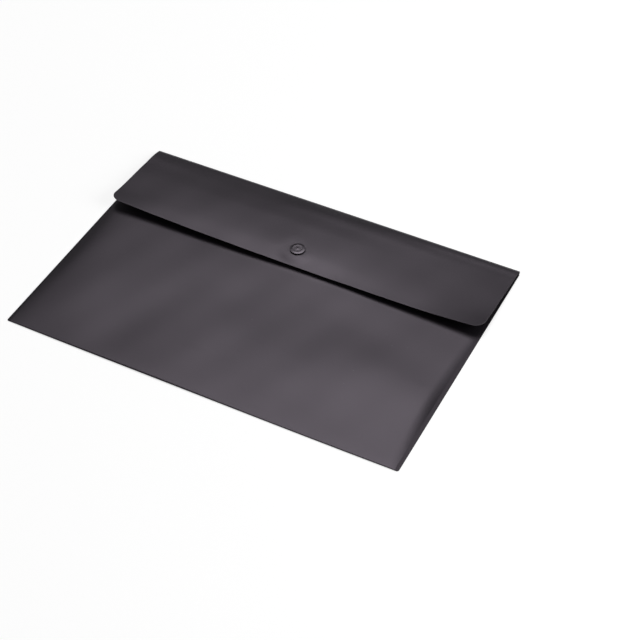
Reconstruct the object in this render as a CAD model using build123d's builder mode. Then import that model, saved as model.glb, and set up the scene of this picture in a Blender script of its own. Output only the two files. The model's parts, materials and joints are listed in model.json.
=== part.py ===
from build123d import *
import os
from math import cos, radians, sin

# Document wallet: one scored polypropylene sheet, folded into a pocket with a flap and shut by a press stud.
# X runs along the flap crease, +Y points at the crease, +Z out of the front. The back lies on Z = 0.
# All lengths are in millimetres.

os.makedirs("parts", exist_ok=True)

# Sheet and outline
wallet_width = 332.0
wallet_height = 228.0
sheet_thickness = 0.4

# Pocket: welded sides, folded bottom, bowed front
weld_width = 3.0
weld_corner_radius = 1.2
mouth_setback = 11.0
pocket_clear_height = 4.1
shoulder_width = 14.0
bottom_rise_length = 60.0
fold_end_radius = 0.3

# Flap and its crease
crease_inner_radius = 1.0
crease_land = 0.8
crease_slope_deg = 26.0
mouth_slope_deg = 9.5
mouth_clearance = 0.4
knee_distance = 30.0
edge_drop = 0.6
corner_lift = 3.4
flap_depth = 79.5
flap_side_inset = 0.5
flap_corner_radius = 9.0
cut_overrun = 2.0

# Press stud: cap and socket on the flap, stud and rivet on the pocket
stud_from_flap_edge = 17.0
seat_gap = 0.05
pin_radius = 1.3
pin_clearance = 0.05
head_radius = 1.8
head_height = 0.25
head_gap = 0.1
cap_radius = 6.2
cap_height = 1.3
cap_edge_height = 0.45
cap_bevel_width = 1.4
dish_radius = 4.3
dish_wall_width = 0.35
dish_depth = 0.25
pip_radius = 0.8
pip_height = 0.15
socket_radius = 5.2
socket_web = 0.4
socket_edge_chamfer = 0.3
lip_radius = 2.4
lip_height = 0.22
lip_slope_height = 0.18
cavity_radius = 2.85
slot_width = 0.7
slot_length = 1.6
slot_count = 4
stud_radius = 5.0
flange_height = 0.45
flange_gap = 0.1
neck_radius = 2.15
neck_height = 0.42
ball_radius = 2.6
ball_height = 1.0
ball_top_radius = 2.25
rivet_radius = 6.0
rivet_height = 0.9
rivet_edge_radius = 0.35

# Heights and lines worked out from the sizes above
top_y = wallet_height / 2
fold_y = sheet_thickness - top_y
mouth_y = top_y - mouth_setback
pocket_width = wallet_width - 2 * weld_width
plateau_half = pocket_width / 2 - shoulder_width
rim_height = 2 * sheet_thickness
front_under = sheet_thickness + pocket_clear_height
front_top = front_under + sheet_thickness

crease_outer_radius = crease_inner_radius + sheet_thickness
crease_y = top_y - crease_outer_radius
crease_z = crease_outer_radius
land_y = crease_y - crease_land
flap_front_y = top_y - flap_depth
flap_width = wallet_width - 2 * flap_side_inset
flap_half = flap_width / 2
knee_y = top_y - knee_distance

stud_y = flap_front_y + stud_from_flap_edge
stud_axis = Axis((0, stud_y, 0), (0, 0, 1))
stud_plane = Plane.XZ.offset(-stud_y)
hole_radius = pin_radius + pin_clearance
stud_seat = front_top + seat_gap
flange_top = stud_seat + flange_height
stud_top = flange_top + ball_height
cap_pin_end = stud_top + head_gap
socket_web_under = cap_pin_end + head_height + seat_gap
socket_seat = socket_web_under + socket_web
socket_bottom = flange_top + flange_gap
flap_under = socket_seat + seat_gap
flap_top = flap_under + sheet_thickness


def level_ease(start, end):
    """Draw two tangent arcs that leave start level and reach end level."""
    middle = ((start[0] + end[0]) / 2, (start[1] + end[1]) / 2)
    heading = 1 if end[0] > start[0] else -1
    TangentArc(start, middle, tangent=(heading, 0))
    TangentArc(end, middle, tangent=(-heading, 0))


def heading_at(slope_deg):
    """Direction from the crease towards the flap's front edge, climbing at a slope."""
    return Vector(-cos(radians(slope_deg)), sin(radians(slope_deg)))


def outside(point, slope_deg):
    """Point on the flap's outer face, one sheet out from a point on its inner face."""
    return point + Vector(sin(radians(slope_deg)), cos(radians(slope_deg))) * sheet_thickness


# Back panel, full width only above the side welds
with BuildPart() as back_panel:
    with BuildSketch() as back_outline:
        with Locations((0, (fold_y + land_y) / 2)):
            Rectangle(pocket_width, land_y - fold_y)
        with Locations((0, (mouth_y + land_y) / 2)):
            Rectangle(wallet_width, land_y - mouth_y)
    extrude(amount=sheet_thickness)
back_panel.part.label = "back_panel"
export_step(back_panel.part, "parts/back_panel.step")

# Bottom fold, where the sheet turns back on itself
with BuildPart() as bottom_fold:
    with BuildSketch(Plane.YZ) as fold_profile:
        with BuildLine() as fold_line:
            Line((fold_y, 0), (fold_y, rim_height))
            ThreePointArc((fold_y, rim_height), (-top_y, rim_height / 2), (fold_y, 0))
        make_face()
    extrude(amount=wallet_width / 2, both=True)
    fillet(bottom_fold.edges().filter_by(GeomType.CIRCLE), radius=fold_end_radius)
bottom_fold.part.label = "bottom_fold"
export_step(bottom_fold.part, "parts/bottom_fold.step")

# Side welds, where both layers are fused into one strip
for side, node in ((-1, "left_weld"), (1, "right_weld")):
    with BuildPart() as weld:
        with BuildSketch() as weld_outline:
            with Locations((side * (pocket_width + weld_width) / 2, (fold_y + mouth_y) / 2)):
                Rectangle(weld_width, mouth_y - fold_y)
            mouth_end = weld_outline.vertices().group_by(Axis.Y)[-1]
            fillet(mouth_end.sort_by(Axis.X)[0 if side < 0 else -1], radius=weld_corner_radius)
        extrude(amount=rim_height)
    weld.part.label = node
    export_step(weld.part, f"parts/{node}.step")

# Front panel, bowed up from the welds and the bottom fold to a level top
with BuildPart() as front_panel:
    with BuildSketch(Plane.XZ.offset(-mouth_y)) as across:
        with BuildLine() as across_line:
            left_foot = (-pocket_width / 2, rim_height)
            right_foot = (pocket_width / 2, rim_height)
            level_ease(left_foot, (-plateau_half, front_top))
            Line((-plateau_half, front_top), (plateau_half, front_top))
            level_ease((plateau_half, front_top), right_foot)
            Polyline(right_foot, (pocket_width / 2, 0), (-pocket_width / 2, 0), left_foot)
        make_face()
    extrude(amount=mouth_y - fold_y)
    with BuildSketch(Plane.YZ) as upward:
        with BuildLine() as upward_line:
            bottom_foot = (fold_y, rim_height)
            bottom_crest = (fold_y + bottom_rise_length, front_top)
            level_ease(bottom_foot, bottom_crest)
            Polyline(bottom_crest, (mouth_y, front_top), (mouth_y, 0), (fold_y, 0), bottom_foot)
        make_face()
    extrude(amount=pocket_width / 2, both=True, mode=Mode.INTERSECT)
    add(front_panel.part.moved(Location((0, 0, -sheet_thickness))), mode=Mode.SUBTRACT)
    with Locations((0, stud_y, front_top)):
        Hole(radius=hole_radius, depth=rim_height)
front_panel.part.label = "front_panel"
export_step(front_panel.part, "parts/front_panel.step")

# Crease, the scored strip that the flap turns on: a flat land on the back panel, then the bend
with BuildPart() as flap_crease:
    with BuildSketch(Plane.YZ) as crease_profile:
        with BuildLine() as crease_line:
            outer_arc = CenterArc((crease_y, crease_z), crease_outer_radius, -90, 180 - crease_slope_deg)
            inner_arc = CenterArc((crease_y, crease_z), crease_inner_radius, -90, 180 - crease_slope_deg)
            Polyline(outer_arc @ 0, (land_y, 0), (land_y, sheet_thickness), inner_arc @ 0)
            Line(outer_arc @ 1, inner_arc @ 1)
        make_face()
    extrude(amount=flap_half, both=True)
flap_crease.part.label = "flap_crease"
export_step(flap_crease.part, "parts/flap_crease.step")

# Flap, arched over the pocket's mouth and pulled down by the stud, with lifted front corners
with BuildPart() as flap:
    for station in (-flap_half, -plateau_half, 0, plateau_half, flap_half):
        with BuildSketch(Plane.YZ.offset(station)) as strip:
            bow_share = (station / flap_half) ** 2
            drop = edge_drop if abs(station) > plateau_half else 0
            front_slope_deg = Vector(1, 0).get_angle(
                Vector(knee_y - flap_front_y, bow_share * corner_lift + drop)
            )
            start = Vector(crease_y, crease_z) + Vector(
                sin(radians(crease_slope_deg)), cos(radians(crease_slope_deg))
            ) * crease_inner_radius
            mouth = Vector(mouth_y, front_top + mouth_clearance - drop)
            knee = Vector(knee_y, flap_under - drop)
            slopes = (crease_slope_deg, mouth_slope_deg, front_slope_deg)
            inner_points = (start, mouth, knee)
            outer_points = [outside(point, slope) for point, slope in zip(inner_points, slopes)]
            run = knee_y - flap_front_y + cut_overrun
            front = knee + heading_at(front_slope_deg) * run
            with BuildLine() as strip_line:
                headings = [heading_at(slope) for slope in slopes]
                Spline(inner_points, tangents=headings)
                Polyline(knee, front, outside(front, front_slope_deg), outer_points[-1])
                Spline(outer_points, tangents=headings)
                Line(start, outer_points[0])
            make_face()
    loft()
    with BuildSketch() as flap_outline:
        with Locations((0, top_y - flap_depth / 2)):
            Rectangle(flap_width, flap_depth)
        fillet(flap_outline.vertices().group_by(Axis.Y)[0], radius=flap_corner_radius)
        with Locations((0, stud_y)):
            Circle(hole_radius, mode=Mode.SUBTRACT)
    extrude(amount=flap_top + corner_lift + cut_overrun, mode=Mode.INTERSECT)
flap.part.label = "flap"
export_step(flap.part, "parts/flap.step")

# Button cap with its rivet pin, on the outside of the flap
with BuildPart() as button_cap:
    with BuildSketch(stud_plane) as cap_profile:
        cap_seat = flap_top + seat_gap
        cap_top = cap_seat + cap_height
        cap_edge = (cap_radius, cap_seat + cap_edge_height)
        cap_crown = (cap_radius - cap_bevel_width, cap_top)
        with BuildLine() as cap_line:
            Polyline(
                (0, cap_top - dish_depth + pip_height),
                (0, cap_pin_end),
                (head_radius, cap_pin_end),
                (head_radius, cap_pin_end + head_height),
                (pin_radius, cap_pin_end + head_height),
                (pin_radius, cap_seat),
                (cap_radius, cap_seat),
                cap_edge,
            )
            Bezier(cap_edge, (cap_radius, cap_top), cap_crown)
            Polyline(
                cap_crown,
                (dish_radius, cap_top),
                (dish_radius - dish_wall_width, cap_top - dish_depth),
                (pip_radius, cap_top - dish_depth),
                (0, cap_top - dish_depth + pip_height),
            )
        make_face()
    revolve(axis=stud_axis)
button_cap.part.label = "button_cap"
export_step(button_cap.part, "parts/button_cap.step")

# Button socket, the sprung half under the flap
with BuildPart() as button_socket:
    with BuildSketch(stud_plane) as socket_profile:
        lip_top = socket_bottom + lip_height
        with BuildLine() as socket_line:
            Polyline(
                (hole_radius, socket_seat),
                (socket_radius, socket_seat),
                (socket_radius, socket_bottom + socket_edge_chamfer),
                (socket_radius - socket_edge_chamfer, socket_bottom),
                (lip_radius, socket_bottom),
                (lip_radius, lip_top),
                (cavity_radius, lip_top + lip_slope_height),
                (cavity_radius, socket_web_under),
                (hole_radius, socket_web_under),
                close=True,
            )
        make_face()
    revolve(axis=stud_axis)
    with BuildSketch(Plane.XY.offset(socket_bottom)) as spring_slots:
        with Locations((0, stud_y)):
            with PolarLocations(lip_radius + (slot_length - slot_width) / 2, slot_count):
                Rectangle(slot_length + slot_width, slot_width)
    extrude(amount=lip_height + lip_slope_height, mode=Mode.SUBTRACT)
button_socket.part.label = "button_socket"
export_step(button_socket.part, "parts/button_socket.step")

# Button stud, the ball half on the front panel
with BuildPart() as button_stud:
    with BuildSketch(stud_plane) as stud_profile:
        recess_radius = head_radius + pin_clearance
        recess_floor = stud_top - head_height - 2 * seat_gap
        with BuildLine() as stud_line:
            Polyline(
                (recess_radius, stud_top),
                (recess_radius, recess_floor),
                (hole_radius, recess_floor),
                (hole_radius, stud_seat),
                (stud_radius, stud_seat),
                (stud_radius, flange_top),
                (neck_radius, flange_top),
                (neck_radius, flange_top + neck_height),
            )
            ball_side = (ball_radius, (flange_top + neck_height + stud_top) / 2)
            ball_crown = (ball_top_radius, stud_top)
            ThreePointArc((neck_radius, flange_top + neck_height), ball_side, ball_crown)
            Line(ball_crown, (recess_radius, stud_top))
        make_face()
    revolve(axis=stud_axis)
button_stud.part.label = "button_stud"
export_step(button_stud.part, "parts/button_stud.step")

# Stud rivet, the flat head inside the pocket with the pin that holds the stud
with BuildPart() as stud_rivet:
    with BuildSketch(stud_plane) as rivet_profile:
        rivet_seat = front_under - seat_gap
        rivet_head_base = recess_floor + seat_gap
        with BuildLine() as rivet_line:
            Polyline(
                (0, rivet_seat - rivet_height),
                (rivet_radius, rivet_seat - rivet_height),
                (rivet_radius, rivet_seat),
                (pin_radius, rivet_seat),
                (pin_radius, rivet_head_base),
                (head_radius, rivet_head_base),
                (head_radius, rivet_head_base + head_height),
                (0, rivet_head_base + head_height),
                close=True,
            )
        make_face()
    revolve(axis=stud_axis)
    fillet(stud_rivet.edges().group_by(Axis.Z)[0], radius=rivet_edge_radius)
stud_rivet.part.label = "stud_rivet"
export_step(stud_rivet.part, "parts/stud_rivet.step")
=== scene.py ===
# %% [markdown]
# # A document wallet, shut by a press stud
#
# The real wallet is one sheet of black polypropylene, 0.4 mm thick. It is scored, folded up at the
# bottom, welded down both sides and closed by a full-width flap with a press stud. This lesson dresses
# the CAD model of that wallet. Every CAD node gets a modelled piece in its place, so that the sheet can
# sag and bow as thin plastic does.
#
# The CAD model is loaded first and is never moved. All lengths here are in metres, in its frame: X runs
# along the flap's crease, Y points at the crease, and Z points out of the front.

# %% Load the CAD frame
import json
import math

import bmesh
import bpy
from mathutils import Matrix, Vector


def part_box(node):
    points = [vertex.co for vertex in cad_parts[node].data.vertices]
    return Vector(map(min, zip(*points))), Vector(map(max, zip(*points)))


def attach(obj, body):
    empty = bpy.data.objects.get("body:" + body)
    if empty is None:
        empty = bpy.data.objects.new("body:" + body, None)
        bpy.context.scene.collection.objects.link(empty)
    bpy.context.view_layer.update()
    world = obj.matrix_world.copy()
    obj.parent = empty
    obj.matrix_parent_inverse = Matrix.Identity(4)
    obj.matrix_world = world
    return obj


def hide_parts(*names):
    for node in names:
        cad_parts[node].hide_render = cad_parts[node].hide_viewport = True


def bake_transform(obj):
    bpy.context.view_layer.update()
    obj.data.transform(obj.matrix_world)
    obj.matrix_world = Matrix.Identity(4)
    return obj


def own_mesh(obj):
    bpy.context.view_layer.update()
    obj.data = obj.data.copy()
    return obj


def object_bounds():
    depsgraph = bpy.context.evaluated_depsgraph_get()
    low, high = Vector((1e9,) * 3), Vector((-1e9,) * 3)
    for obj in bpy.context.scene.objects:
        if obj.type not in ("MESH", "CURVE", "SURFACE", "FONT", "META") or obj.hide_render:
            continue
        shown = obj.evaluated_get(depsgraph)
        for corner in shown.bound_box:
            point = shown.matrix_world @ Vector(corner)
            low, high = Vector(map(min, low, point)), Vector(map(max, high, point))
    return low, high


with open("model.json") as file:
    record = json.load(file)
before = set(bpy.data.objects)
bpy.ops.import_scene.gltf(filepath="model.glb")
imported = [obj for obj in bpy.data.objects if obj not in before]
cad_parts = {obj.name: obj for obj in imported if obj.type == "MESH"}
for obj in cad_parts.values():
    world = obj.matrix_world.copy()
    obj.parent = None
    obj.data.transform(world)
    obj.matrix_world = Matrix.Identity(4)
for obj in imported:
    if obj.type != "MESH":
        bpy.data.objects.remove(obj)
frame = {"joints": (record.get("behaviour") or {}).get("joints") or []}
cad_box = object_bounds()
cad_size = cad_box[1] - cad_box[0]
print("CAD box, mm:", [round(side * 1000, 2) for side in cad_size])

# %% [markdown]
# ## The camera
#
# The photograph looks down on the wallet at 45 degrees, a little from the right, through a long lens. The
# four corners of the wallet fix such a camera: its angles, its distance and its lens. A long lens keeps
# the far edge nearly as long as the near one, which is why the distance is well over a metre for an
# object of 33 cm.

# %% Set up the camera
camera_azimuth = math.radians(27.015)
camera_elevation = math.radians(45.043)
camera_distance = 1.25937
camera_target = Vector((0.048325, -0.004228, 0.0))
camera_lens_mm = 92.169

towards_camera = Vector((
    math.sin(camera_azimuth) * math.cos(camera_elevation),
    -math.cos(camera_azimuth) * math.cos(camera_elevation),
    math.sin(camera_elevation),
))
camera_place = camera_target + towards_camera * camera_distance
camera_turn = (-towards_camera).to_track_quat("-Z", "Y").to_euler()
bpy.ops.object.select_all(action="DESELECT")
bpy.ops.object.camera_add(location=camera_place, rotation=camera_turn)
camera = bpy.context.object
camera.name = "photo_camera"
camera.data.lens = camera_lens_mm
bpy.context.scene.camera = camera
bpy.context.scene.view_settings.view_transform = "Standard"
print("camera at", [round(side, 4) for side in camera.location])

# %% [markdown]
# ## The studio
#
# Black plastic has hardly any colour of its own to show. What the eye reads is the soft reflection of the
# lamps, so the place of the large lamp matters more than its strength. It hangs behind the wallet, on the
# left, with its middle higher than the direction that a level sheet mirrors towards the camera. A sheet
# that leans towards the camera mirrors more of it and turns lighter. One that leans back or to the left
# mirrors the dim room instead and turns darker. The lamp is tall, so the flap's shadow has a soft edge.
#
# A small lamp on the right lights the right edge. Two weak, wide lamps, in front and on the left, put a
# faint sheen on the wallet when it is seen from the back or from the right. The floor glows for the
# camera and in reflections, so that it is white and still keeps the shadow.

# %% Hang the lamps
def hang_softbox(name, location, width, height, power):
    """Add an area lamp of this size and power that faces the wallet."""
    bpy.ops.object.select_all(action="DESELECT")
    facing = (-Vector(location)).to_track_quat("-Z", "Y").to_euler()
    bpy.ops.object.light_add(type="AREA", location=location, rotation=facing)
    lamp = bpy.context.object
    lamp.name = name
    lamp.data.shape = "RECTANGLE"
    lamp.data.size = width
    lamp.data.size_y = height
    lamp.data.energy = power
    print("lamp:", name, power, "W")


hang_softbox("key_softbox", location=(-0.66, 1.68, 3.56), width=1.6, height=2.3, power=85.0)
hang_softbox("side_softbox", location=(1.25, 0.20, 0.65), width=0.8, height=0.8, power=10.0)
hang_softbox("front_fill", location=(0.50, -2.20, 1.45), width=3.0, height=1.1, power=9.0)
hang_softbox("left_fill", location=(-2.40, -0.30, 0.95), width=2.0, height=0.9, power=4.5)

# %% Light the room
room_colour = (0.085, 0.085, 0.085, 1.0)
room = bpy.data.worlds.new("studio_room")
room.use_nodes = True
room.node_tree.nodes["Background"].inputs["Color"].default_value = room_colour
bpy.context.scene.world = room
print("room light:", room_colour[0])

# %% Lay the floor
floor_side = 30.0
floor_drop = 0.0001
bpy.ops.object.select_all(action="DESELECT")
bpy.ops.mesh.primitive_plane_add(size=floor_side, location=(0, 0, -floor_drop))
floor = bpy.context.object
floor.name = "studio_floor"
print("floor at", floor.location.z)

# %% Paint the floor
floor_shade = 0.42
floor_glow = 0.66
floor_paint = bpy.data.materials.new("pale_floor")
floor_paint.use_nodes = True
nodes = floor_paint.node_tree.nodes
links = floor_paint.node_tree.links
nodes.clear()
path = nodes.new("ShaderNodeLightPath")
seen_or_mirrored = nodes.new("ShaderNodeMath")
seen_or_mirrored.operation = "MAXIMUM"
seen_at_all = nodes.new("ShaderNodeMath")
seen_at_all.operation = "MAXIMUM"
glow_level = nodes.new("ShaderNodeMath")
glow_level.operation = "MULTIPLY"
glow_level.inputs[1].default_value = floor_glow
paint = nodes.new("ShaderNodeBsdfDiffuse")
paint.inputs["Color"].default_value = (floor_shade, floor_shade, floor_shade, 1.0)
glow = nodes.new("ShaderNodeEmission")
both = nodes.new("ShaderNodeAddShader")
output = nodes.new("ShaderNodeOutputMaterial")
links.new(path.outputs["Is Camera Ray"], seen_or_mirrored.inputs[0])
links.new(path.outputs["Is Glossy Ray"], seen_or_mirrored.inputs[1])
links.new(seen_or_mirrored.outputs[0], seen_at_all.inputs[0])
links.new(path.outputs["Is Transmission Ray"], seen_at_all.inputs[1])
links.new(seen_at_all.outputs[0], glow_level.inputs[0])
links.new(glow_level.outputs[0], glow.inputs["Strength"])
links.new(paint.outputs[0], both.inputs[0])
links.new(glow.outputs[0], both.inputs[1])
links.new(both.outputs[0], output.inputs["Surface"])
floor.data.materials.append(floor_paint)
print("floor paint:", floor_paint.name)

# %% [markdown]
# ## Sizes read from the frame
#
# The pieces go where the CAD nodes are, so their lines and heights are read from the nodes' boxes. Only
# what a box can't say is written further down: how the sheet sags and bows, how the stud's parts are
# stepped, and how the small edges are rounded.

# %% Read the frame's lines and heights
back_low, back_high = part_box("back_panel")
front_low, front_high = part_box("front_panel")
fold_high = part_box("bottom_fold")[1]
weld_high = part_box("right_weld")[1]
crease_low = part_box("flap_crease")[0]
flap_low, flap_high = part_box("flap")
cap_low, cap_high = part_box("button_cap")
socket_low, socket_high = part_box("button_socket")
stud_low, stud_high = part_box("button_stud")
rivet_low, rivet_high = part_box("stud_rivet")

sheet = back_high.z
rim_height = fold_high.z
fold_y = front_low.y
mouth_y = front_high.y
pocket_half = front_high.x
wallet_half = weld_high.x
front_top = front_high.z
hinge = next(joint for joint in frame["joints"] if joint["name"] == "flap_hinge")
hinge_y = hinge["pos_m"][1]
hinge_z = hinge["pos_m"][2]
flap_half = flap_high.x
flap_front_y = flap_low.y
stud_y = (cap_low.y + cap_high.y) / 2
seat_gap = 0.00005
print("sheet", round(sheet, 5), "front top", round(front_top, 5), "stud at y", round(stud_y, 4))

# %% [markdown]
# ## Working as by hand
#
# An operator acts on whatever is selected, and loading the frame leaves the CAD nodes selected. So each
# piece starts with everything deselected, and each edit picks its vertices, edges or faces by where they
# are.

# %% Helpers for picking up and selecting
def fresh_start():
    """Leave edit mode and deselect everything."""
    if bpy.context.object and bpy.context.object.mode != "OBJECT":
        bpy.ops.object.mode_set(mode="OBJECT")
    bpy.ops.object.select_all(action="DESELECT")


def take_up(piece):
    """Make one piece the only selected and the active object."""
    fresh_start()
    bpy.context.view_layer.objects.active = piece
    piece.select_set(True)


def name_piece(name):
    """Name the new primitive and its mesh."""
    piece = bpy.context.object
    piece.name = name
    piece.data.name = name
    return piece


def edit(piece):
    """Go into edit mode on one piece."""
    take_up(piece)
    bpy.ops.object.mode_set(mode="EDIT")


def pick(piece, kind, test):
    """Select the vertices, edges or faces, in edit mode, that pass a test."""
    bpy.ops.mesh.select_mode(type={"verts": "VERT", "edges": "EDGE", "faces": "FACE"}[kind])
    bpy.ops.mesh.select_all(action="DESELECT")
    mesh = bmesh.from_edit_mesh(piece.data)
    for element in getattr(mesh, kind):
        if test(element):
            element.select_set(True)
    mesh.select_flush_mode()
    bmesh.update_edit_mesh(piece.data)


# %% Helpers for modifiers, edges and shading
merge_distance = 0.000001
bevel_angle = math.radians(50)
shade_angle = math.radians(35)


def use_modifier(piece, kind, **settings):
    """Add a modifier with these settings and apply it."""
    take_up(piece)
    modifier = piece.modifiers.new(kind.lower(), kind)
    for setting, value in settings.items():
        setattr(modifier, setting, value)
    bpy.ops.object.modifier_apply(modifier=modifier.name)


def round_edges(piece, width, steps, where):
    """Bevel the sharp edges whose middle passes a test."""

    def is_sharp(edge):
        """True for a sharp edge whose middle passes the test."""
        middle = (edge.verts[0].co + edge.verts[1].co) / 2
        return edge.calc_face_angle(0) > bevel_angle and where(middle)

    edit(piece)
    pick(piece, "edges", is_sharp)
    bpy.ops.mesh.bevel(offset=width, segments=steps, affect="EDGES")
    fresh_start()


def merge_doubles(piece):
    """Merge points that lie on each other, which leaves no faces without an area."""
    edit(piece)
    bpy.ops.mesh.select_all(action="SELECT")
    bpy.ops.mesh.remove_doubles(threshold=merge_distance)
    fresh_start()


def smooth_faces(piece):
    """Shade the piece smooth, except across sharp edges, with normals weighted by the faces' size."""
    take_up(piece)
    bpy.ops.object.shade_smooth_by_angle(angle=shade_angle)
    use_modifier(piece, "WEIGHTED_NORMAL", keep_sharp=True)


def describe(piece):
    """Print the low and high corner of a piece's box, and its face count."""
    places = [vertex.co for vertex in piece.data.vertices]
    low = [round(min(place[axis] for place in places) * 1000, 2) for axis in range(3)]
    high = [round(max(place[axis] for place in places) * 1000, 2) for axis in range(3)]
    print(piece.name, "mm", low, high, len(piece.data.polygons), "faces")


# %% [markdown]
# ## A sheet, cut, shaped and given its thickness
#
# Thin plastic can be made from a cube, from a curve or from a plane. A plane is closest to how the wallet
# is made: a flat blank is cut to its outline, sliced into a grid fine enough to bend, shaped by a height
# over each point, and only then made as thick as the sheet. The hole for the stud is punched last.

# %% Helpers for sheets
hole_radius = 0.00135
hole_sides = 32
punch_length = 4 * sheet


def flat_blank(name, low_x, high_x, low_y, high_y):
    """Add a plane of this outline and stay in edit mode."""
    fresh_start()
    bpy.ops.mesh.primitive_plane_add(size=1)
    piece = name_piece(name)
    bpy.ops.object.mode_set(mode="EDIT")
    bpy.ops.transform.resize(value=(high_x - low_x, high_y - low_y, 1))
    bpy.ops.transform.translate(value=((low_x + high_x) / 2, (low_y + high_y) / 2, 0))
    return piece


def slice_at(axis, places):
    """Cut the blank across an axis at each of these places."""
    direction = Vector(axis)
    for place in places:
        bpy.ops.mesh.select_all(action="SELECT")
        bpy.ops.mesh.bisect(plane_co=direction * place, plane_no=direction)


def even_places(low, high, step):
    """Places between two ends, about a step apart."""
    count = max(1, round((high - low) / step))
    return [low + (high - low) * index / count for index in range(1, count)]


def edge_places(low, high, step, fine_steps):
    """Even places, and finer ones near both ends."""
    places = even_places(low + fine_steps[-1], high - fine_steps[-1], step)
    return places + [low + fine for fine in fine_steps] + [high - fine for fine in fine_steps]


def raise_sheet(piece, height):
    """Lift each point of the flat blank to the height there."""
    fresh_start()
    for vertex in piece.data.vertices:
        vertex.co.z = height(vertex.co.x, vertex.co.y)


def thicken(piece, offset):
    """Give the shaped blank the sheet's thickness: offset 0 grows both ways, -1 down and 1 up."""
    use_modifier(piece, "SOLIDIFY", thickness=sheet, offset=offset, use_even_offset=True)


def cut_away(piece, tool):
    """Cut the shape of a tool out of a piece and throw the tool away."""
    use_modifier(piece, "BOOLEAN", operation="DIFFERENCE", object=tool, solver="EXACT")
    bpy.data.objects.remove(tool)


def punch(piece, middle_z):
    """Punch the press stud's round hole through a sheet."""
    fresh_start()
    bpy.ops.mesh.primitive_cylinder_add(
        vertices=hole_sides, radius=hole_radius, depth=punch_length, location=(0, stud_y, middle_z)
    )
    cut_away(piece, bpy.context.object)


# %% [markdown]
# ## Heights by formula
#
# A sheet that sags could be sculpted by hand or dropped as cloth. Here its height is a formula of X and
# Y, put together from a few plain parts: a soft step, a smooth line through given heights, a flat seat
# round the stud, and ripples so faint that only their reflections show.

# %% Helpers for heights
ripple_height = 0.00004
ripple_waves = ((0.053, 20, 0.3), (0.041, 75, 1.7), (0.064, 130, 4.0), (0.036, 160, 2.4))


def ease(share):
    """Go from 0 to 1 along an S, level at both ends."""
    share = min(max(share, 0.0), 1.0)
    return share * share * (3 - 2 * share)


def smooth_line(stations, values, place, first_slope=None):
    """Height at a place on a smooth line through the values at the stations."""
    last = len(stations) - 1
    span = next((index for index in range(last) if place <= stations[index + 1]), last - 1)

    def slope(index):
        """Slope of the line at a station: as given for the first one, or else from the neighbours."""
        if index == 0 and first_slope is not None:
            return first_slope
        before = max(index - 1, 0)
        after = min(index + 1, last)
        return (values[after] - values[before]) / (stations[after] - stations[before])

    length = stations[span + 1] - stations[span]
    share = (place - stations[span]) / length
    turn = share * share * (3 - 2 * share)
    leave = share * (1 - share) ** 2 * slope(span) * length
    arrive = share * share * (share - 1) * slope(span + 1) * length
    return values[span] + (values[span + 1] - values[span]) * turn + leave + arrive


def ripple(x, y):
    """Faint ripples: each wave has a length, a direction in degrees and a start."""
    total = 0.0
    for length, direction, start in ripple_waves:
        turn = math.radians(direction)
        along = x * math.cos(turn) + y * math.sin(turn)
        total += math.sin(2 * math.pi * along / length + start)
    return ripple_height * total


def seat_share(x, y, flat, reach):
    """1 on the flat seat of the press stud, fading to 0 at its reach."""
    return 1 - ease((math.hypot(x, y - stud_y) - flat) / (reach - flat))


# %% [markdown]
# ## The back of the pocket
#
# The back lies on the desk, so it is flat. Above the welds it widens by the width of the welds on both
# sides, up to the crease. A plane cut by slices, with one edge extruded on each side, has just that
# outline.

# %% Back sheet
back_step = 0.02
edge_round = 0.0001
edge_round_steps = 2


def at_side_cut(place):
    """True at the outermost left and right edges of the wallet."""
    return abs(place.x) > wallet_half - edge_round


wallet_back = flat_blank("wallet_back", -pocket_half, pocket_half, back_low.y, back_high.y)
slice_at((1, 0, 0), even_places(-pocket_half, pocket_half, back_step))
slice_at((0, 1, 0), [mouth_y])
for side in (-1, 1):
    pick(
        wallet_back,
        "edges",
        lambda edge: all(
            vert.co.x * side > pocket_half - sheet and vert.co.y > mouth_y - sheet for vert in edge.verts
        ),
    )
    widen = {"value": (side * (wallet_half - pocket_half), 0, 0)}
    bpy.ops.mesh.extrude_region_move(TRANSFORM_OT_translate=widen)
bpy.ops.mesh.select_all(action="SELECT")
bpy.ops.mesh.normals_make_consistent(inside=False)
thicken(wallet_back, 1.0)
round_edges(wallet_back, edge_round, edge_round_steps, at_side_cut)
describe(wallet_back)

# %% [markdown]
# ## The front of the pocket
#
# The front is the same sheet. Off the right weld it climbs in one short, round shoulder. Off the left
# weld it climbs steeply and then more gently. Off the fold it takes its time, and on the left and in the
# middle it starts there a little lofted. Between, it lies nearly level, lower on the right, where the
# empty pocket has sunk. Under the flap the shut stud holds it up in a broad mound with a flat seat on it.
#
# A real sheet is never quite even, so broad swells and dents lie on it, the highest 1.7 mm, and ripples of
# 0.04 mm a wave. On satin plastic they are what makes the light patches and the dark ones.

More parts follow.
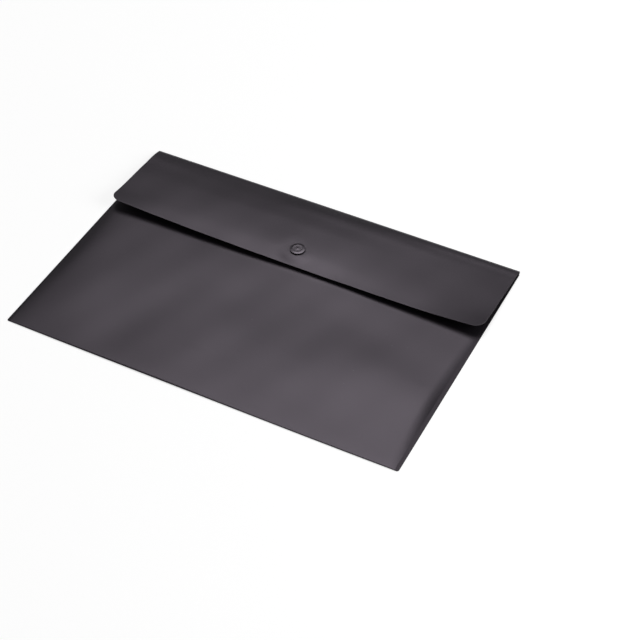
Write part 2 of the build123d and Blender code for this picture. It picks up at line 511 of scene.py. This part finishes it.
# %% Numbers for the front
left_level = 0.0028
right_level = 0.0018
sink_start_x = -0.155
sink_end_x = 0.03
left_steep = 0.006
left_gentle = 0.018
steep_share = 0.50
right_shoulder = 0.0095
fold_lip = 0.0004
fold_reach = 0.005
climb_start = 0.006
climb = 0.080
loft_columns = (-pocket_half, -0.120, -0.064, -0.032, 0.0, 0.032, 0.064, 0.100, pocket_half)
fold_loft = (0.0004, 0.0005, 0.0007, 0.0007, 0.0005, 0.0003, 0.0002, 0.0002, 0.0003)
front_seat_flat = 0.0065
front_seat_reach = 0.0185
mound_height = 0.0024
mound_x = 0.010
mound_spread = 0.036
mound_start_y = 0.030
mound_full_y = 0.050
mound_at_mouth = 0.35
swell_fade = 0.008
swells = (
    (0.102, -0.046, 0.043, 0.024, 0.0017),
    (-0.080, -0.082, 0.020, 0.030, -0.0009),
    (-0.012, -0.012, 0.036, 0.024, -0.0006),
    (0.030, 0.045, 0.030, 0.028, 0.0008),
    (-0.105, 0.055, 0.045, 0.030, -0.0010),
    (0.130, 0.060, 0.030, 0.028, -0.0007),
)
print("swells and dents on the front:", len(swells))


# %% How the front lies
def swell_height(x, y):
    """Ripples and swells, fading at the fold: a swell has a middle, a spread in X and Y, and a height."""
    total = ripple(x, y)
    for middle_x, middle_y, spread_x, spread_y, height in swells:
        away = math.hypot((x - middle_x) / spread_x, (y - middle_y) / spread_y)
        total += height * math.exp(-away * away / 2)
    return total * (1 - math.exp(-(y - fold_y) / swell_fade))


def mound(x, y):
    """Broad mound under the flap, where the shut stud holds the front up."""
    across = math.exp(-(((x - mound_x) / mound_spread) ** 2) / 2)
    climbed = ease((y - mound_start_y) / (mound_full_y - mound_start_y))
    fallen = ease((y - stud_y) / (mouth_y - stud_y))
    return mound_height * across * climbed * (1 - (1 - mound_at_mouth) * fallen)


def side_rise(x):
    """Share of its height that the front has reached off the nearer weld."""
    inside = max(0.0, pocket_half - abs(x))
    if x < 0:
        steep = math.tanh(inside / left_steep)
        gentle = math.tanh(inside / left_gentle)
        return steep_share * steep + (1 - steep_share) * gentle
    missing = max(0.0, 1 - inside / right_shoulder)
    return 1 - missing * missing


def front_height(x, y):
    """Top of the front sheet."""
    inside = y - fold_y
    sunk = ease((x - sink_start_x) / (sink_end_x - sink_start_x))
    level = left_level + (right_level - left_level) * sunk
    lip = fold_lip * (1 - math.exp(-inside / fold_reach))
    loft = smooth_line(loft_columns, fold_loft, x)
    rise = (level - rim_height - loft - fold_lip) * ease((inside - climb_start) / climb)
    height = rim_height + (loft + lip + rise + swell_height(x, y) + mound(x, y)) * side_rise(x)
    seat = seat_share(x, y, front_seat_flat, front_seat_reach)
    return height * (1 - seat) + front_top * seat


print("front height in the middle, mm:", round(front_height(0, 0) * 1000, 2))

# %% Front sheet
front_step = 0.0030
fine_steps = (0.0005, 0.0010, 0.0016, 0.0023, 0.0031, 0.0041, 0.0053, 0.0067, 0.0084, 0.0105)
wallet_front = flat_blank("wallet_front", -pocket_half, pocket_half, fold_y, mouth_y)
slice_at((1, 0, 0), edge_places(-pocket_half, pocket_half, front_step, fine_steps))
slice_at((0, 1, 0), edge_places(fold_y, mouth_y, front_step, fine_steps))
raise_sheet(wallet_front, front_height)
thicken(wallet_front, -1.0)
round_edges(wallet_front, edge_round, edge_round_steps, lambda place: place.y > mouth_y - edge_round)
punch(wallet_front, front_top - sheet / 2)
describe(wallet_front)

# %% [markdown]
# ## The flap
#
# The flap leaves the crease at a slope and bends over the mouth. The stud holds its middle, so it droops
# from the button to the front edge, and both front corners stand up. The left half arches all the way.
# The right half lies low near the crease and then climbs evenly. A lattice could bend a flat blank like
# that. Heights at a few places across and along the flap, with smooth lines through them, are easier to
# set one by one. The faint ripples of the front go on over the flap and fade out near the crease.

# %% How the flap lies
flap_seat_flat = 0.0045
flap_seat_reach = 0.017
root_slope = math.radians(16.0)
ripple_start = 0.020
flap_middle = socket_high.z + seat_gap + sheet / 2
crease_middle_radius = hinge_z - sheet / 2
root_y = hinge_y + crease_middle_radius * math.sin(root_slope)
root_z = hinge_z + crease_middle_radius * math.cos(root_slope)

flap_columns = (-flap_half, -0.120, -0.060, 0.0, 0.070, 0.120, flap_half)
flap_rows = (
    (mouth_y, (0.0047, 0.0043, 0.0042, 0.0051, 0.0040, 0.0036, 0.0036)),
    (0.092, (0.0054, 0.0055, 0.0055, 0.0061, 0.0046, 0.0042, 0.0044)),
    (0.078, (0.0065, 0.0067, 0.0067, 0.0070, 0.0052, 0.0049, 0.0056)),
    (stud_y, (0.0084, 0.0080, 0.0073, flap_middle, 0.0060, 0.0061, 0.0080)),
    (flap_front_y, (0.0110, 0.0083, 0.0066, 0.0056, 0.0059, 0.0069, 0.0102)),
)
flap_distances = [0.0] + [root_y - row_y for row_y, heights in flap_rows]


def flap_height(x, y):
    """Middle of the flap sheet."""
    heights = [root_z] + [smooth_line(flap_columns, row, x) for row_y, row in flap_rows]
    height = smooth_line(flap_distances, heights, root_y - y, math.tan(root_slope))
    height += ripple(x, y) * ease((root_y - y) / ripple_start)
    seat = seat_share(x, y, flap_seat_flat, flap_seat_reach)
    return height * (1 - seat) + flap_middle * seat


check_step = 0.003
room_under = min(
    flap_height(x, y) - sheet / 2 - front_height(x, y)
    for x in even_places(-pocket_half, pocket_half, check_step)
    for y in even_places(flap_front_y, mouth_y, check_step)
)
print("least room between flap and front, mm:", round(room_under * 1000, 2))

# %% Flap sheet
flap_corner = 0.009
corner_steps = 10
flap_step_x = 0.0030
flap_step_y = 0.0016
flap_sheet = flat_blank("flap_sheet", -flap_half, flap_half, flap_front_y, root_y)
pick(flap_sheet, "verts", lambda vert: vert.co.y < stud_y)
bpy.ops.mesh.bevel(offset=flap_corner, segments=corner_steps, affect="VERTICES")
slice_at((1, 0, 0), even_places(-flap_half, flap_half, flap_step_x))
slice_at((0, 1, 0), even_places(flap_front_y, root_y, flap_step_y))
raise_sheet(flap_sheet, flap_height)
thicken(flap_sheet, 0.0)
round_edges(flap_sheet, edge_round, edge_round_steps, lambda place: place.y < root_y - sheet)
punch(flap_sheet, flap_middle)
describe(flap_sheet)

# %% [markdown]
# ## The crease
#
# The crease is a scored strip: a short flat land on the back, then a bend up to the flap. A bevelled
# curve would do, but a cube for the land, with its far face spun about the hinge, bends just where the
# flap turns.

# %% Crease strip
crease_steps = 14
crease_turn = math.pi - root_slope
far_facing = 0.9
fresh_start()
bpy.ops.mesh.primitive_cube_add(size=1)
crease_strip = name_piece("crease_strip")
bpy.ops.object.mode_set(mode="EDIT")
bpy.ops.transform.resize(value=(2 * flap_half, hinge_y - crease_low.y, sheet))
bpy.ops.transform.translate(value=(0, (hinge_y + crease_low.y) / 2, sheet / 2))
pick(crease_strip, "faces", lambda face: face.normal.y > far_facing)
bpy.ops.mesh.spin(
    steps=crease_steps, angle=crease_turn, center=(0, hinge_y, hinge_z), axis=(-1, 0, 0)
)
bpy.ops.mesh.select_all(action="SELECT")
bpy.ops.mesh.normals_make_consistent(inside=False)
round_edges(
    crease_strip, edge_round, edge_round_steps, lambda place: abs(place.x) > flap_half - edge_round
)
describe(crease_strip)

# %% [markdown]
# ## The welded sides
#
# A hot blade cuts and fuses both layers at the sides. It squeezes them thinner towards the cut, so the
# band slopes down to a thin, rounded outer edge. Its corner at the mouth is round, and so is the one at
# the bottom, which it shares with the fold. A cube is enough for that: its outer corners are bevelled, it
# is sliced both ways, its top is lowered to the slope, and the outer edges are rounded.

# %% Weld strips
weld_width = wallet_half - pocket_half
weld_corner = 0.0012
weld_corner_steps = 6
bottom_corner = 0.0018
weld_taper = 0.00064
weld_step_x = 0.0005
weld_step_y = 0.004


def weld_top(x):
    """Top of the weld, and of the fold's end beside it: the full rim inside, thin at the cut."""
    return rim_height - weld_taper * max(0.0, abs(x) - pocket_half) / weld_width


def make_weld(name, side):
    """One welded side strip."""
    fresh_start()
    bpy.ops.mesh.primitive_cube_add(size=1)
    strip = name_piece(name)
    bpy.ops.object.mode_set(mode="EDIT")
    middle_x = side * (pocket_half + wallet_half) / 2
    bpy.ops.transform.resize(value=(weld_width, mouth_y - fold_y, rim_height))
    bpy.ops.transform.translate(value=(middle_x, (mouth_y + fold_y) / 2, rim_height / 2))
    for corner, at_end in (
        (weld_corner, lambda vert: vert.co.y > mouth_y - sheet),
        (bottom_corner - rim_height / 2, lambda vert: vert.co.y < fold_y + sheet),
    ):
        pick(
            strip,
            "edges",
            lambda edge: all(
                at_end(vert) and abs(vert.co.x) > wallet_half - sheet for vert in edge.verts
            ),
        )
        bpy.ops.mesh.bevel(offset=corner, segments=weld_corner_steps, affect="EDGES")
    slice_at((1, 0, 0), even_places(middle_x - weld_width / 2, middle_x + weld_width / 2, weld_step_x))
    slice_at((0, 1, 0), even_places(fold_y, mouth_y, weld_step_y))
    fresh_start()
    for vertex in strip.data.vertices:
        if vertex.co.z > rim_height / 2:
            vertex.co.z = weld_top(vertex.co.x)
    round_edges(strip, edge_round, edge_round_steps, at_side_cut)
    return strip


left_seam = make_weld("left_seam", -1)
right_seam = make_weld("right_seam", 1)
describe(left_seam)
describe(right_seam)

# %% [markdown]
# ## The bottom fold
#
# At the bottom the sheet turns back on itself in a half round. A bevelled curve could run along it, but a
# thin cylinder, cut in half, is already that shape. Its height follows the front over the pocket and the
# welds beside it. It bows out a little in the middle, and its ends bend round the bottom corners.

# %% Fold strip
fold_sides = 24
fold_end_round = 0.0003
fold_end_steps = 3
fold_bulge = 0.0007
bulge_power = 4
corner_runs = (0.0, 0.0003, 0.0006, 0.0009, 0.00115, 0.0014)
corner_start = wallet_half - bottom_corner
fold_radius = rim_height / 2
fresh_start()
bpy.ops.mesh.primitive_cylinder_add(
    vertices=fold_sides, radius=fold_radius, depth=2 * wallet_half, rotation=(0, math.pi / 2, 0)
)
fold_strip = name_piece("fold_strip")
bpy.ops.object.transform_apply(location=True, rotation=True, scale=True)
bpy.ops.object.mode_set(mode="EDIT")
bpy.ops.mesh.select_all(action="SELECT")
bpy.ops.transform.translate(value=(0, fold_y, fold_radius))
bpy.ops.mesh.bisect(plane_co=(0, fold_y, 0), plane_no=(0, 1, 0), use_fill=True, clear_outer=True)
fold_places = edge_places(-pocket_half, pocket_half, front_step, fine_steps)
for place in [pocket_half] + [corner_start + run for run in corner_runs]:
    fold_places += [-place, place]
slice_at((1, 0, 0), fold_places)
round_edges(fold_strip, fold_end_round, fold_end_steps, at_side_cut)
for vertex in fold_strip.data.vertices:
    over_pocket = min(max(vertex.co.x, -pocket_half), pocket_half)
    vertex.co.z *= front_height(over_pocket, fold_y) / rim_height * weld_top(vertex.co.x) / rim_height
    bulge = fold_bulge * max(0.0, 1 - (vertex.co.x / wallet_half) ** bulge_power)
    vertex.co.y += (vertex.co.y - fold_y) / fold_radius * bulge
    run = min(max(0.0, abs(vertex.co.x) - corner_start), bottom_corner)
    vertex.co.y += bottom_corner - math.sqrt(bottom_corner**2 - run**2)
describe(fold_strip)

# %% [markdown]
# ## The press stud
#
# All four stud parts are turned shapes. A screw modifier could turn a drawn profile. Here each part
# starts as a circle that is extruded and scaled from step to step, as on a lathe, so the profile can be
# read as a list of radii and heights. The cap is a lid that stands out over a narrower foot. Its rim
# falls away a little, and inside lie a shallow dish and a pip where the mould was filled. Under the flap
# sits the socket with its sprung, slotted lip. On the pocket sits the ball that the lip grips, with the
# rivet's flat head inside the pocket.

# %% Turning helpers
turn_sides = 96
mould_round = 0.00006


def turn_piece(name, profile, ring=False):
    """Turn a profile of (radius, height) steps about the stud's axis: a ring closes on its first step."""
    fresh_start()
    radius, height = profile[0]
    steps = profile[1:] + profile[:1] if ring else profile[1:]
    fill = "NOTHING" if ring else "NGON"
    bpy.ops.mesh.primitive_circle_add(vertices=turn_sides, radius=radius, fill_type=fill)
    piece = name_piece(name)
    bpy.ops.object.mode_set(mode="EDIT")
    bpy.ops.mesh.select_mode(type="EDGE")
    bpy.ops.mesh.select_all(action="SELECT")
    bpy.ops.transform.translate(value=(0, stud_y, height))
    for next_radius, next_height in steps:
        lift = {"value": (0, 0, next_height - height)}
        bpy.ops.mesh.extrude_edges_move(TRANSFORM_OT_translate=lift)
        factor = next_radius / radius
        bpy.ops.transform.resize(
            value=(factor, factor, 1), center_override=(0, stud_y, next_height)
        )
        radius, height = next_radius, next_height
    if not ring:
        bpy.ops.mesh.edge_face_add()
    bpy.ops.mesh.select_all(action="SELECT")
    bpy.ops.mesh.remove_doubles(threshold=merge_distance)
    bpy.ops.mesh.normals_make_consistent(inside=False)
    fresh_start()
    return piece


def quarter_round(radius, low, width, high, steps):
    """Profile steps of a quarter round, from a straight side up and in to a level top."""
    turns = [index / steps * math.pi / 2 for index in range(1, steps + 1)]
    return [
        (radius - width * (1 - math.cos(turn)), low + (high - low) * math.sin(turn)) for turn in turns
    ]


# %% Button cap
pin_radius = 0.0013
head_radius = 0.0018
head_height = 0.00025
cap_radius = cap_high.x
cap_top = cap_high.z
cap_seat = flap_middle + sheet / 2 + seat_gap
cap_gap = 0.00095
cap_overhang = 0.0018
cap_edge = 0.0001
cap_corner = 0.00022
cap_corner_steps = 5
rim_fall = 0.00018
rim_inner = 0.0044
rim_hold = 0.0001
dish_radius = 0.0041
dish_wall = 0.0007
dish_depth = 0.00006
pip_radius = 0.0007
pip_height = 0.00005
pip_shoulder = 0.7
pip_crown = 0.3
foot_radius = cap_radius - cap_overhang
lid_low = cap_seat + cap_gap
rim_low = cap_top - rim_fall
rim_outer = cap_radius - cap_corner
rim_slope = rim_fall / (rim_outer - rim_inner)
dish_floor = cap_top - dish_depth
cap_profile = [
    (head_radius, cap_low.z),
    (head_radius, cap_low.z + head_height),
    (pin_radius, cap_low.z + head_height),
    (pin_radius, cap_seat),
    (foot_radius, cap_seat),
    (foot_radius, lid_low),
    (cap_radius - cap_edge, lid_low),
    (cap_radius, lid_low + cap_edge),
]
cap_profile += quarter_round(cap_radius, lid_low + cap_edge, cap_corner, rim_low, cap_corner_steps)
cap_profile += [
    (rim_outer - rim_hold, rim_low + rim_hold * rim_slope),
    (rim_inner + rim_hold, cap_top - rim_hold * rim_slope),
    (rim_inner, cap_top),
    (dish_radius, cap_top),
    (dish_radius - dish_wall, dish_floor),
    (pip_radius, dish_floor),
    (pip_radius * pip_shoulder, dish_floor + pip_height * pip_shoulder),
    (pip_radius * pip_crown, dish_floor + pip_height),
]
cap_button = turn_piece("cap_button", cap_profile)
describe(cap_button)

# %% Socket under the flap
socket_radius = socket_high.x
socket_edge = 0.0003
lip_radius = 0.0024
lip_height = 0.00022
lip_slope = 0.00018
cavity_radius = 0.00285
web_under = socket_high.z - sheet
slot_width = 0.0007
slot_span = 0.008
slot_height = 2 * (lip_height + lip_slope)
button_socket = turn_piece(
    "button_spring",
    [
        (hole_radius, socket_high.z),
        (socket_radius - mould_round, socket_high.z),
        (socket_radius, socket_high.z - mould_round),
        (socket_radius, socket_low.z + socket_edge),
        (socket_radius - socket_edge, socket_low.z),
        (lip_radius, socket_low.z),
        (lip_radius, socket_low.z + lip_height),
        (cavity_radius, socket_low.z + lip_height + lip_slope),
        (cavity_radius, web_under),
        (hole_radius, web_under),
    ],
    ring=True,
)
for span_x, span_y in ((slot_span, slot_width), (slot_width, slot_span)):
    fresh_start()
    bpy.ops.mesh.primitive_cube_add(size=1, location=(0, stud_y, socket_low.z))
    slot_cutter = bpy.context.object
    slot_cutter.scale = (span_x, span_y, slot_height)
    bpy.ops.object.transform_apply(location=False, rotation=False, scale=True)
    cut_away(button_socket, slot_cutter)
describe(button_socket)

# %% Ball stud on the pocket
stud_radius = stud_high.x
flange_height = 0.00045
flange_top = stud_low.z + flange_height
neck_radius = 0.00215
neck_height = 0.00042
neck_top = flange_top + neck_height
ball_radius = 0.0026
ball_crown = 0.00225
recess_radius = 0.00185
recess_floor = stud_high.z - head_height - 2 * seat_gap
ball_middle = (neck_top + stud_high.z) / 2
button_ball = turn_piece(
    "button_ball",
    [
        (recess_radius, stud_high.z - mould_round),
        (recess_radius, recess_floor),
        (hole_radius, recess_floor),
        (hole_radius, stud_low.z),
        (stud_radius - mould_round, stud_low.z),
        (stud_radius, stud_low.z + mould_round),
        (stud_radius, flange_top - mould_round),
        (stud_radius - mould_round, flange_top),
        (neck_radius, flange_top),
        (neck_radius, neck_top),
        ((neck_radius + 2 * ball_radius) / 3, (neck_top + ball_middle) / 2),
        (ball_radius, ball_middle),
        ((ball_crown + 2 * ball_radius) / 3, (stud_high.z + ball_middle) / 2),
        (ball_crown, stud_high.z),
        (recess_radius + mould_round, stud_high.z),
    ],
    ring=True,
)
describe(button_ball)

# %% Rivet inside the pocket
rivet_radius = rivet_high.x
rivet_seat = front_top - sheet - seat_gap
rivet_round = 0.00035
rivet_round_steps = 4
pin_head_base = rivet_high.z - head_height
rivet_profile = [(pin_radius, rivet_low.z), (rivet_radius - rivet_round, rivet_low.z)]
for step in range(1, rivet_round_steps + 1):
    turn = step / rivet_round_steps * math.pi / 2
    edge_radius = rivet_radius - rivet_round * (1 - math.sin(turn))
    rivet_profile.append((edge_radius, rivet_low.z + rivet_round * (1 - math.cos(turn))))
rivet_profile += [
    (rivet_radius, rivet_seat - mould_round),
    (rivet_radius - mould_round, rivet_seat),
    (pin_radius, rivet_seat),
    (pin_radius, pin_head_base),
    (head_radius, pin_head_base),
    (head_radius, rivet_high.z),
]
pocket_rivet = turn_piece("pocket_rivet", rivet_profile)
describe(pocket_rivet)

# %% [markdown]
# ## Marks for the materials
#
# Where the sheet was cut, and where it bends at the crease, polypropylene turns a little paler, and these
# edges also catch the light. A pale colour is painted there for both: partly whitening, partly a painted
# highlight. Each sheet carries it as a number per face, so that the material can tell such places from
# the flat of the sheet.

# %% Mark the cut edges and the crease
# How much pale colour is painted on cut edges and on the crease: partly the whitening of cut and bent
# polypropylene, partly a painted highlight where these edges catch the light.
cut_whitening_and_highlight = 0.35
crease_whitening_and_highlight = 0.80
score_width = 0.0016
steep_face = 0.85


def mark_pale_and_highlit_edges(piece, value_of):
    """Store how pale each face is, as whitening and painted highlight, from its normal and its middle."""
    marks = piece.data.attributes.new("cut_edge", "FLOAT", "FACE")
    for face in piece.data.polygons:
        marks.data[face.index].value = value_of(face.normal, face.center)


def sheet_whitening_and_highlight(normal, middle):
    """Pale on a cut edge and paler on the scored line at the crease, partly whitening and partly painted
    highlight; 0 on the flat of the sheet.
    """
    if abs(normal.z) < steep_face:
        return cut_whitening_and_highlight
    return crease_whitening_and_highlight if middle.y > root_y - score_width else 0.0


for piece in (wallet_back, wallet_front, flap_sheet):
    mark_pale_and_highlit_edges(piece, sheet_whitening_and_highlight)
mark_pale_and_highlit_edges(crease_strip, lambda normal, middle: crease_whitening_and_highlight if middle.z > hinge_z else 0.0)
mark_pale_and_highlit_edges(fold_strip, lambda normal, middle: 0.0)
print("marked", len(flap_sheet.data.polygons), "faces of the flap")

# %% [markdown]
# ## Materials
#
# Three finishes are needed: the satin sheet, the fused weld and the moulded stud. They share three
# effects, kept as node groups: a fine grain with slow changes of tone, faint rub marks, and a few dust
# specks in patches. Each material sets the groups' scales and strengths. The shine itself stays in the
# material. The specks' pale colour is also painted on the marked cut edges and the crease, partly as
# whitening and partly as a painted highlight.

# %% Node helpers
def add_node(tree, kind, **settings):
    """Add a node and set its properties, or else its inputs, by name."""
    node = tree.nodes.new(kind)
    for name, value in settings.items():
        if hasattr(node, name):
            setattr(node, name, value)
        else:
            node.inputs[name.replace("_", " ").title()].default_value = value
    return node


def new_group(name, inputs, outputs):
    """Start a node group with these number inputs and outputs."""
    group = bpy.data.node_groups.new(name, "ShaderNodeTree")
    for input_name in inputs:
        group.interface.new_socket(name=input_name, in_out="INPUT", socket_type="NodeSocketFloat")
    for output_name in outputs:
        group.interface.new_socket(name=output_name, in_out="OUTPUT", socket_type="NodeSocketFloat")
    place = group.nodes.new("ShaderNodeTexCoord")
    return group, place, group.nodes.new("NodeGroupInput"), group.nodes.new("NodeGroupOutput")


# %% Grain and tone
grain_group, place, group_input, group_output = new_group(
    "sheet_grain", ("Tone Scale", "Grain Scale"), ("Tone", "Grain")
)
tone = add_node(grain_group, "ShaderNodeTexNoise", detail=4.0, roughness=0.55)
grain = add_node(grain_group, "ShaderNodeTexNoise", detail=3.0, roughness=0.6)
for texture, name in ((tone, "Tone"), (grain, "Grain")):
    grain_group.links.new(place.outputs["Object"], texture.inputs["Vector"])
    grain_group.links.new(group_input.outputs[name + " Scale"], texture.inputs["Scale"])
    grain_group.links.new(texture.outputs[0], group_output.inputs[name])
print("node group:", grain_group.name)

# %% Rub marks
rub_stretch = (14.0, 150.0, 14.0)
rub_direction = (0.0, 0.0, math.radians(24))
rub_start = 0.60
rub_full = 0.78
rub_group, place, group_input, group_output = new_group("rub_marks", ("Strength",), ("Rub",))
stretch = add_node(rub_group, "ShaderNodeMapping", scale=rub_stretch, rotation=rub_direction)
streaks = add_node(rub_group, "ShaderNodeTexNoise", scale=1.0, detail=5.0, roughness=0.65)
sharpen = add_node(rub_group, "ShaderNodeMapRange", from_min=rub_start, from_max=rub_full)
weaken = add_node(rub_group, "ShaderNodeMath", operation="MULTIPLY")
rub_group.links.new(place.outputs["Object"], stretch.inputs["Vector"])
rub_group.links.new(stretch.outputs["Vector"], streaks.inputs["Vector"])
rub_group.links.new(streaks.outputs[0], sharpen.inputs["Value"])
rub_group.links.new(sharpen.outputs["Result"], weaken.inputs[0])
rub_group.links.new(group_input.outputs["Strength"], weaken.inputs[1])
rub_group.links.new(weaken.outputs[0], group_output.inputs["Rub"])
print("node group:", rub_group.name)

# %% Dust specks
speck_cells = 45.0
speck_core = 0.012
speck_edge = 0.034
patch_scale = 14.0
patch_low = 0.58
patch_high = 0.66
speck_group, place, group_input, group_output = new_group("dust_specks", ("Strength",), ("Speck",))
grains = add_node(speck_group, "ShaderNodeTexVoronoi", voronoi_dimensions="2D", scale=speck_cells)
spot = add_node(speck_group, "ShaderNodeMapRange", from_min=speck_edge, from_max=speck_core)
patches = add_node(speck_group, "ShaderNodeTexNoise", scale=patch_scale)
patchy = add_node(speck_group, "ShaderNodeMapRange", from_min=patch_low, from_max=patch_high)
some_spots = add_node(speck_group, "ShaderNodeMath", operation="MULTIPLY")
faint_spots = add_node(speck_group, "ShaderNodeMath", operation="MULTIPLY")
for texture in (grains, patches):
    speck_group.links.new(place.outputs["Object"], texture.inputs["Vector"])
speck_group.links.new(grains.outputs["Distance"], spot.inputs["Value"])
speck_group.links.new(patches.outputs[0], patchy.inputs["Value"])
speck_group.links.new(spot.outputs["Result"], some_spots.inputs[0])
speck_group.links.new(patchy.outputs["Result"], some_spots.inputs[1])
speck_group.links.new(some_spots.outputs[0], faint_spots.inputs[0])
speck_group.links.new(group_input.outputs["Strength"], faint_spots.inputs[1])
speck_group.links.new(faint_spots.outputs[0], group_output.inputs["Speck"])
print("node group:", speck_group.name)

# %% Black plastic
specular_tint = (0.975, 0.85, 1.0, 1.0)
tone_scale = 11.0
grain_scale = 1400.0
bump_distance = 0.00003


def make_plastic(name, dark, light, pale, roughness, bump_strength, rub_strength, speck_strength):
    """Two tones; a paler one for dust specks, also painted on marked edges as whitening and highlight; a
    low and a high roughness, bump, rubs and specks.
    """
    material = bpy.data.materials.new(name)
    material.use_nodes = True
    tree = material.node_tree
    shader = tree.nodes["Principled BSDF"]
    shader.inputs["Specular Tint"].default_value = specular_tint
    grain_node = add_node(
        tree, "ShaderNodeGroup", node_tree=grain_group, tone_scale=tone_scale, grain_scale=grain_scale
    )
    rub_node = add_node(tree, "ShaderNodeGroup", node_tree=rub_group, strength=rub_strength)
    speck_node = add_node(tree, "ShaderNodeGroup", node_tree=speck_group, strength=speck_strength)
    # The marked cut edges and the crease get the pale colour: partly whitening, partly a painted
    # highlight.
    marks = add_node(tree, "ShaderNodeAttribute", attribute_name="cut_edge")
    specks_and_highlight_share = add_node(tree, "ShaderNodeMath", operation="ADD")
    tones = add_node(tree, "ShaderNodeMix", data_type="RGBA")
    tones.inputs["A"].default_value = dark
    tones.inputs["B"].default_value = light
    dust_and_highlight_mix = add_node(tree, "ShaderNodeMix", data_type="RGBA")
    dust_and_highlight_mix.inputs["B"].default_value = pale
    shine = add_node(tree, "ShaderNodeMapRange", to_min=roughness[0], to_max=roughness[1])
    rubbed = add_node(tree, "ShaderNodeMath", operation="ADD")
    bump = add_node(tree, "ShaderNodeBump", strength=bump_strength, distance=bump_distance)
    links = tree.links
    links.new(grain_node.outputs["Tone"], tones.inputs["Factor"])
    links.new(tones.outputs["Result"], dust_and_highlight_mix.inputs["A"])
    links.new(speck_node.outputs["Speck"], specks_and_highlight_share.inputs[0])
    links.new(marks.outputs["Fac"], specks_and_highlight_share.inputs[1])
    links.new(specks_and_highlight_share.outputs[0], dust_and_highlight_mix.inputs["Factor"])
    links.new(dust_and_highlight_mix.outputs["Result"], shader.inputs["Base Color"])
    links.new(grain_node.outputs["Tone"], shine.inputs["Value"])
    links.new(rub_node.outputs["Rub"], rubbed.inputs[0])
    links.new(shine.outputs["Result"], rubbed.inputs[1])
    links.new(rubbed.outputs[0], shader.inputs["Roughness"])
    links.new(grain_node.outputs["Grain"], bump.inputs["Height"])
    links.new(bump.outputs["Normal"], shader.inputs["Normal"])
    print("material:", name)
    return material


# %% Three finishes
sheet_plastic = make_plastic(
    "sheet_plastic",
    dark=(0.0055, 0.0048, 0.0060, 1),
    light=(0.0080, 0.0071, 0.0087, 1),
    pale=(0.070, 0.066, 0.073, 1),
    roughness=(0.41, 0.45),
    bump_strength=0.10,
    rub_strength=0.05,
    speck_strength=0.30,
)
weld_plastic = make_plastic(
    "weld_plastic",
    dark=(0.0055, 0.0048, 0.0060, 1),
    light=(0.0085, 0.0075, 0.0092, 1),
    pale=(0.060, 0.056, 0.062, 1),
    roughness=(0.40, 0.44),
    bump_strength=0.10,
    rub_strength=0.05,
    speck_strength=0.30,
)
stud_plastic = make_plastic(
    "stud_plastic",
    dark=(0.0050, 0.0044, 0.0054, 1),
    light=(0.0075, 0.0067, 0.0081, 1),
    pale=(0.040, 0.036, 0.042, 1),
    roughness=(0.28, 0.32),
    bump_strength=0.04,
    rub_strength=0.05,
    speck_strength=0.30,
)

# %% [markdown]
# ## Dressing the frame
#
# Each piece takes the place of one CAD node and rides on the body that the node belongs to.

# %% Dress and attach
finishes = {"sheet": sheet_plastic, "weld": weld_plastic, "stud": stud_plastic}


def dress(piece, node, slot):
    """Shade a piece, give it its finish and let it replace its node."""
    merge_doubles(piece)
    smooth_faces(piece)
    piece.data.materials.append(finishes[slot])
    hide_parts(node)


for piece, node, body, slot in (
    (wallet_back, "back_panel", "pocket", "sheet"),
    (wallet_front, "front_panel", "pocket", "sheet"),
    (fold_strip, "bottom_fold", "pocket", "sheet"),
    (left_seam, "left_weld", "pocket", "weld"),
    (right_seam, "right_weld", "pocket", "weld"),
    (button_ball, "button_stud", "pocket", "stud"),
    (pocket_rivet, "stud_rivet", "pocket", "stud"),
    (flap_sheet, "flap", "flap", "sheet"),
    (cap_button, "button_cap", "flap", "stud"),
    (button_socket, "button_socket", "flap", "stud"),
):
    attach(piece, body)
    dress(piece, node, slot)
print("pieces on their bodies")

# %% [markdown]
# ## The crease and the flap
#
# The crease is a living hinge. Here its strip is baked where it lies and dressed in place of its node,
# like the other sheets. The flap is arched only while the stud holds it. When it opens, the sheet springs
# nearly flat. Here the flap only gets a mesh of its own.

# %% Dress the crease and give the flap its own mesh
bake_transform(crease_strip)
dress(crease_strip, "flap_crease", "sheet")
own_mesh(flap_sheet)
